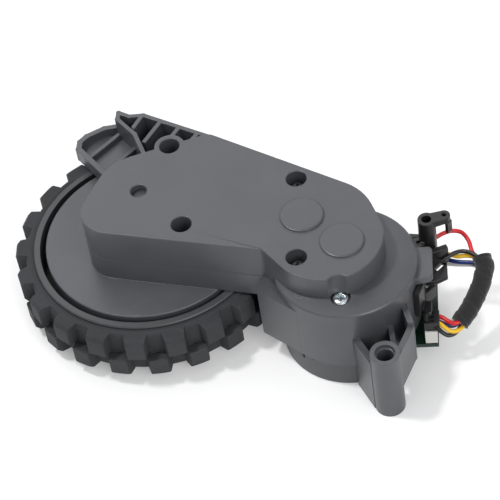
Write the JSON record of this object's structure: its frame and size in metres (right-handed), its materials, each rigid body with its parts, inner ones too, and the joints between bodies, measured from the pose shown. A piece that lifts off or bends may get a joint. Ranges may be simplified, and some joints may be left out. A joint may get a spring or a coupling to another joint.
{
  "type": "robot vacuum wheel module",
  "caption": "Drive wheel module with lugged tyre, geared arm, motor housing, hinge barrel and wire harness, lying on its side.",
  "frame": {"origin": "on the wheel axle, level with the outer face of the motor cap and the foot of the hinge barrel", "axes": "+X from the wheel axle to the motor axis; +Z along the wheel axle, out of the gear case cover"},
  "size_m": [0.1218, 0.0692, 0.0342],
  "materials": {
    "case_cover_plastic": "moulded ABS, fine satin texture",
    "arm_plastic": "moulded ABS, fine satin texture",
    "cap_plastic": "moulded ABS",
    "rim_plastic": "moulded ABS",
    "tyre_rubber": "moulded rubber",
    "ground_steel": "ground steel",
    "bronze": "sintered bronze",
    "gear_plastic": "moulded acetal",
    "plated_steel": "plated deep-drawn steel",
    "ferrite": "ferrite magnet",
    "white_plastic": "moulded nylon",
    "carbon": "pressed carbon",
    "iron_core": "laminated iron with windings",
    "copper": "copper segments",
    "pinion_brass": "machined brass",
    "board_green": "glass fibre board with solder mask",
    "black_steel": "black-finished steel",
    "zinc_steel": "zinc-plated steel",
    "bracket_plastic": "moulded ABS, black",
    "plug_plastic": "moulded nylon, black",
    "red_pvc": "PVC insulation",
    "black_pvc": "PVC insulation",
    "yellow_pvc": "PVC insulation",
    "blue_pvc": "PVC insulation",
    "white_pvc": "PVC insulation",
    "cloth_tape": "fleece harness tape"
  },
  "bodies": {
    "arm": {"gear_case_cover": "case_cover_plastic", "gear_case_body": "arm_plastic", "motor_cap": "cap_plastic", "upper_axle_bush": "bronze", "lower_axle_bush": "bronze", "gear_pins": "ground_steel", "motor_can": "plated_steel", "motor_magnets": "ferrite", "motor_end_bell": "white_plastic", "motor_brushes": "carbon", "cover_screws": "black_steel", "motor_screws": "black_steel", "case_screw": "zinc_steel", "wire_bracket": "bracket_plastic", "circuit_board": "board_green", "connector_header": "white_plastic", "connector_plug": "plug_plastic", "red_wire": "red_pvc", "black_wire": "black_pvc", "yellow_wire": "yellow_pvc", "blue_wire": "blue_pvc", "white_wire": "white_pvc", "tape_sleeve": "cloth_tape"},
    "wheel": {"wheel_rim": "rim_plastic", "tyre": "tyre_rubber", "wheel_axle": "ground_steel", "output_gear": "gear_plastic", "wheel_screw": "zinc_steel"},
    "gear_4": {"fourth_gear": "gear_plastic"},
    "gear_3": {"third_gear": "gear_plastic"},
    "gear_2": {"second_gear": "gear_plastic"},
    "gear_1": {"first_gear": "gear_plastic"},
    "rotor": {"motor_armature": "iron_core", "commutator": "copper", "motor_shaft": "ground_steel", "motor_pinion": "pinion_brass", "encoder_magnet": "ferrite"}
  },
  "joints": [
    {"name": "wheel_spin", "type": "hinge", "parent": "arm", "child": "wheel", "pos_m": [0, 0, 0], "axis": [0, 0, 1], "continuous": true},
    {"name": "gear_4_spin", "type": "hinge", "parent": "arm", "child": "gear_4", "pos_m": [0.01151, 0.00512, 0], "axis": [0, 0, 1], "continuous": true},
    {"name": "gear_3_spin", "type": "hinge", "parent": "arm", "child": "gear_3", "pos_m": [0.02205, 0.00948, 0], "axis": [0, 0, 1], "continuous": true},
    {"name": "gear_2_spin", "type": "hinge", "parent": "arm", "child": "gear_2", "pos_m": [0.03103, 0.00247, 0], "axis": [0, 0, 1], "continuous": true},
    {"name": "gear_1_spin", "type": "hinge", "parent": "arm", "child": "gear_1", "pos_m": [0.04223, 0.0046, 0], "axis": [0, 0, 1], "continuous": true},
    {"name": "rotor_spin", "type": "hinge", "parent": "arm", "child": "rotor", "pos_m": [0.0546, 0, 0], "axis": [0, 0, 1], "continuous": true}
  ],
  "couplings": [
    {"joint": "gear_4_spin", "follows": "wheel_spin", "ratio": -2.5},
    {"joint": "gear_3_spin", "follows": "wheel_spin", "ratio": 4.8077},
    {"joint": "gear_2_spin", "follows": "wheel_spin", "ratio": -9.2456},
    {"joint": "gear_1_spin", "follows": "wheel_spin", "ratio": 17.78},
    {"joint": "rotor_spin", "follows": "wheel_spin", "ratio": -34.375}
  ]
}
